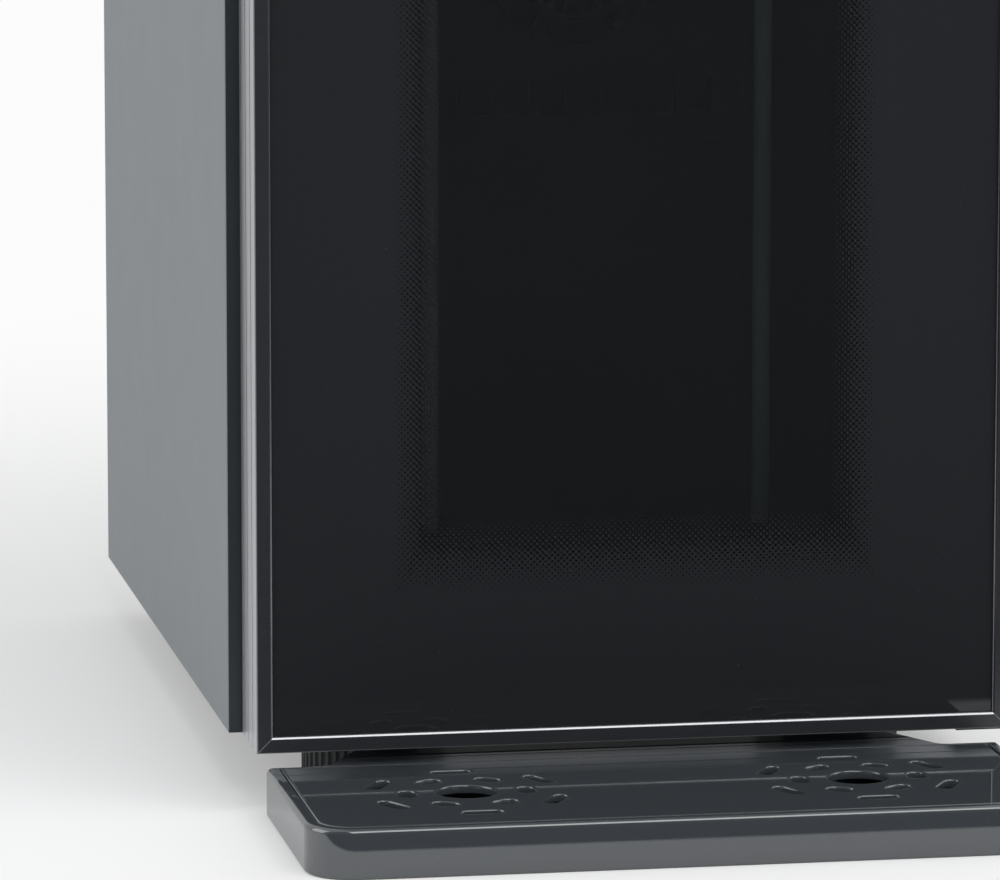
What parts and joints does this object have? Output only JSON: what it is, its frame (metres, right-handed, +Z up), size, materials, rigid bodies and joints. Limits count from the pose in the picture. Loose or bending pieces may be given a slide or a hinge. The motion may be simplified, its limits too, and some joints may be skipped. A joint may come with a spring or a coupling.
{
  "type": "wine preservation dispenser",
  "caption": "Countertop wine dispenser: cooled glass-door chamber for two bottles, overhanging head with lever taps, drip tray in front and an inert-gas feed at the back.",
  "frame": {"origin": "on the table, in the middle of the outline seen from above", "axes": "+Z up, -Y towards the taps and the drip tray, +X to the right as one faces the door"},
  "size_m": [0.248, 0.45, 0.56],
  "materials": {
    "foot_rubber": "moulded black rubber, ribbed rim",
    "pan_paint": "dark powder coat",
    "side_paint": "satin mid-grey paint on sheet steel",
    "frame_plastic": "satin dark grey moulding",
    "rear_paint": "dull grey coated sheet",
    "deck_sheet": "zinc-coated sheet",
    "liner_plastic": "dark vacuum-formed liner",
    "foam": "rigid insulating foam",
    "coaster_rubber": "grooved black rubber",
    "lamp_diffuser": "frosted diffuser",
    "sink_aluminium": "extruded fins, natural finish",
    "cover_plastic": "pale satin moulding",
    "fan_plastic": "black moulding",
    "ceramic": "white ceramic plates",
    "supply_case": "folded zinc-coated case",
    "circuit_board": "green solder mask",
    "regulator_brass": "machined brass",
    "knob_plastic": "black fluted knob",
    "manifold_plastic": "grey moulding",
    "hose_tube": "milky flexible tube",
    "dock_plastic": "white moulding",
    "plunger_plastic": "black moulding",
    "stopper_rubber": "dark food-grade rubber",
    "dip_tube": "clear stiff tube",
    "valve_steel": "turned stainless steel",
    "spring_steel": "spring wire",
    "spout_chrome": "polished stainless steel",
    "lever_plastic": "gloss black",
    "head_gloss": "gloss black moulding",
    "panel_glass": "black touch glass",
    "button_metal": "spun steel cap",
    "door_glass": "tinted, black halftone border",
    "inner_glass": "clear inner pane",
    "spacer_metal": "dark anodised spacer bar",
    "bezel_black": "dark anodised bezel",
    "edge_aluminium": "satin anodised grooved profile",
    "key_plastic": "black moulding",
    "gasket_rubber": "magnetic bulb gasket",
    "bracket_steel": "dark coated steel",
    "tray_gloss": "gloss black, rounded rim",
    "inlet_plastic": "black moulding with steel pins",
    "rocker_plastic": "dark red moulding",
    "screw_steel": "zinc-plated"
  },
  "bodies": {
    "cabinet": {"feet": "foot_rubber", "base_pan": "pan_paint", "side_panel_left": "side_paint", "side_panel_right": "side_paint", "front_frame": "frame_plastic", "rear_panel": "rear_paint", "top_cover": "side_paint", "deck_plate": "deck_sheet", "inner_liner": "liner_plastic", "foam_insulation": "foam", "bottle_coasters": "coaster_rubber", "chamber_lamp": "lamp_diffuser", "cold_sink": "sink_aluminium", "cold_cover": "cover_plastic", "peltier_module": "ceramic", "hot_sink": "sink_aluminium", "hot_fan_frame": "fan_plastic", "power_supply": "supply_case", "control_board": "circuit_board", "gas_regulator": "regulator_brass", "gas_manifold": "manifold_plastic", "hoses": "hose_tube", "dock_housings": "dock_plastic", "valve_bodies": "valve_steel", "valve_spring_left": "spring_steel", "valve_spring_right": "spring_steel", "spouts": "spout_chrome", "lever_pins": "valve_steel", "head_shell": "head_gloss", "control_panel": "panel_glass", "hinge_brackets": "bracket_steel", "power_inlet": "inlet_plastic", "screws": "screw_steel"},
    "door": {"door_outer_glass": "door_glass", "door_inner_glass": "inner_glass", "door_spacer": "spacer_metal", "door_bezel": "bezel_black", "door_profiles": "edge_aluminium", "corner_keys": "key_plastic", "door_gasket": "gasket_rubber"},
    "tray": {"tray_basin": "tray_gloss"},
    "tray_cover": {"tray_cover": "tray_gloss"},
    "lever_left": {"lever_left": "lever_plastic"},
    "lever_right": {"lever_right": "lever_plastic"},
    "valve_stem_left": {"valve_stem_left": "valve_steel"},
    "valve_stem_right": {"valve_stem_right": "valve_steel"},
    "dock_plunger_left": {"dock_plunger_left": "plunger_plastic"},
    "dock_plunger_right": {"dock_plunger_right": "plunger_plastic"},
    "stopper_left": {"stopper_left": "stopper_rubber", "dip_tube_left": "dip_tube"},
    "stopper_right": {"stopper_right": "stopper_rubber", "dip_tube_right": "dip_tube"},
    "button_power": {"button_power": "button_metal"},
    "button_light": {"button_light": "button_metal"},
    "button_colder": {"button_colder": "button_metal"},
    "button_warmer": {"button_warmer": "button_metal"},
    "cold_fan": {"cold_fan_rotor": "fan_plastic"},
    "hot_fan": {"hot_fan_rotor": "fan_plastic"},
    "regulator_knob": {"regulator_knob": "knob_plastic"},
    "rocker": {"rocker_switch": "rocker_plastic"}
  },
  "joints": [
    {"name": "door_hinge", "type": "hinge", "parent": "cabinet", "child": "door", "pos_m": [0.1145, -0.111, 0.21], "axis": [0, 0, 1], "range_deg": [0, 110]},
    {"name": "tray_slide", "type": "slide", "parent": "cabinet", "child": "tray", "axis": [0, -1, 0], "range_m": [0, 0.06]},
    {"name": "tray_cover_lift", "type": "slide", "parent": "tray", "child": "tray_cover", "axis": [0, 0, 1], "range_m": [0, 0.03]},
    {"name": "lever_left_pivot", "type": "hinge", "parent": "cabinet", "child": "lever_left", "pos_m": [-0.0615, -0.192, 0.455], "axis": [1, 0, 0], "range_deg": [0, 22], "stiffness_Nm_per_rad": 0.1, "springref_deg": -20.05},
    {"name": "valve_stem_left_slide", "type": "slide", "parent": "cabinet", "child": "valve_stem_left", "axis": [0, 0, 1], "range_m": [0, 0.00691], "deforming": ["valve_spring_left"]},
    {"name": "dock_left_slide", "type": "slide", "parent": "cabinet", "child": "dock_plunger_left", "axis": [0, 0, 1], "range_m": [0, 0.0065]},
    {"name": "stopper_left_pull", "type": "slide", "parent": "dock_plunger_left", "child": "stopper_left", "axis": [0, 0, -1], "range_m": [0, 0.014]},
    {"name": "lever_right_pivot", "type": "hinge", "parent": "cabinet", "child": "lever_right", "pos_m": [0.0615, -0.192, 0.455], "axis": [1, 0, 0], "range_deg": [0, 22], "stiffness_Nm_per_rad": 0.1, "springref_deg": -20.05},
    {"name": "valve_stem_right_slide", "type": "slide", "parent": "cabinet", "child": "valve_stem_right", "axis": [0, 0, 1], "range_m": [0, 0.00691], "deforming": ["valve_spring_right"]},
    {"name": "dock_right_slide", "type": "slide", "parent": "cabinet", "child": "dock_plunger_right", "axis": [0, 0, 1], "range_m": [0, 0.0065]},
    {"name": "stopper_right_pull", "type": "slide", "parent": "dock_plunger_right", "child": "stopper_right", "axis": [0, 0, -1], "range_m": [0, 0.014]},
    {"name": "button_power_press", "type": "slide", "parent": "cabinet", "child": "button_power", "axis": [0, 0.9905, -0.1372], "range_m": [0, 0.001], "stiffness_N_per_m": 150, "springref_m": -0.003},
    {"name": "button_light_press", "type": "slide", "parent": "cabinet", "child": "button_light", "axis": [0, 0.9905, -0.1372], "range_m": [0, 0.001], "stiffness_N_per_m": 150, "springref_m": -0.003},
    {"name": "button_colder_press", "type": "slide", "parent": "cabinet", "child": "button_colder", "axis": [0, 0.9905, -0.1372], "range_m": [0, 0.001], "stiffness_N_per_m": 150, "springref_m": -0.003},
    {"name": "button_warmer_press", "type": "slide", "parent": "cabinet", "child": "button_warmer", "axis": [0, 0.9905, -0.1372], "range_m": [0, 0.001], "stiffness_N_per_m": 150, "springref_m": -0.003},
    {"name": "cold_fan_spin", "type": "hinge", "parent": "cabinet", "child": "cold_fan", "pos_m": [0, -0.0145, 0.255], "axis": [0, 1, 0], "continuous": true},
    {"name": "hot_fan_spin", "type": "hinge", "parent": "cabinet", "child": "hot_fan", "pos_m": [0, 0.1036, 0.255], "axis": [0, 1, 0], "continuous": true},
    {"name": "regulator_knob_turn", "type": "hinge", "parent": "cabinet", "child": "regulator_knob", "pos_m": [0.04, 0.2195, 0.475], "axis": [0, 1, 0], "range_deg": [0, 300]},
    {"name": "rocker_tilt", "type": "hinge", "parent": "cabinet", "child": "rocker", "pos_m": [-0.08, 0.207, 0.099], "axis": [1, 0, 0], "range_deg": [0, 14]}
  ],
  "couplings": [
    {"joint": "lever_left_pivot", "follows": "valve_stem_left_slide", "rad_per_m": 55.556},
    {"joint": "lever_right_pivot", "follows": "valve_stem_right_slide", "rad_per_m": 55.556}
  ]
}
